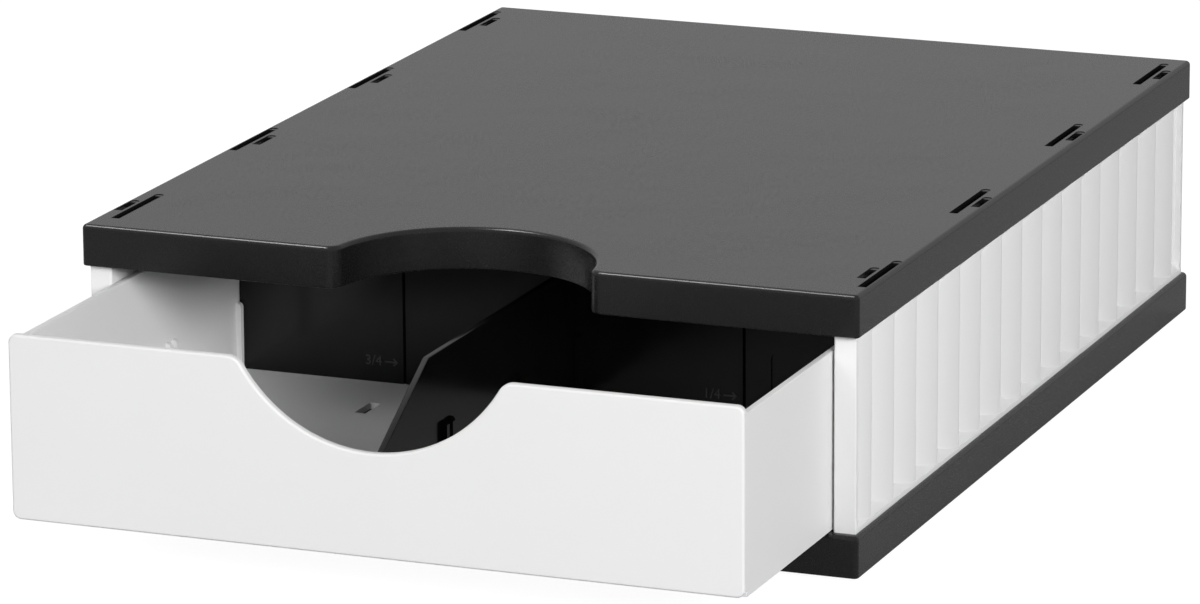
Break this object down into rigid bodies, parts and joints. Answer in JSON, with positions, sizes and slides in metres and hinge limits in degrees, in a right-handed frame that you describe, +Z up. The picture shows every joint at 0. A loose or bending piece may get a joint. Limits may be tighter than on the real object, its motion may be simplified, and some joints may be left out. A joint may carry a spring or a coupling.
{
  "type": "desk letter tray",
  "caption": "Stackable A4 desk letter tray with flat plates, finger cut-outs, fluted side panels and a deep pull-out drawer parted by a cross divider and a lengthwise divider.",
  "frame": {"origin": "middle of the whole tray's footprint, with the drawer pulled out as far as it is at rest, on the desk surface under the feet", "axes": "+Z up, -Y the way the drawer opens, +X to the right when facing the drawer front"},
  "size_m": [0.247, 0.4002, 0.086],
  "materials": {
    "black_plastic": "satin black moulded plastic",
    "white_plastic": "satin white moulded plastic",
    "divider_plastic": "smooth black moulded plastic",
    "foot_rubber": "matte black rubber"
  },
  "bodies": {
    "housing": {"top_plate": "black_plastic", "base_plate": "black_plastic", "left_side_panel": "white_plastic", "right_side_panel": "white_plastic", "back_panel": "white_plastic", "rubber_feet": "foot_rubber"},
    "drawer": {"drawer_tray": "white_plastic", "cross_divider": "divider_plastic", "length_divider": "divider_plastic"}
  },
  "joints": [
    {"name": "drawer_slide", "type": "slide", "parent": "housing", "child": "drawer", "axis": [0, -1, 0], "range_m": [-0.0723, 0.1677]}
  ]
}
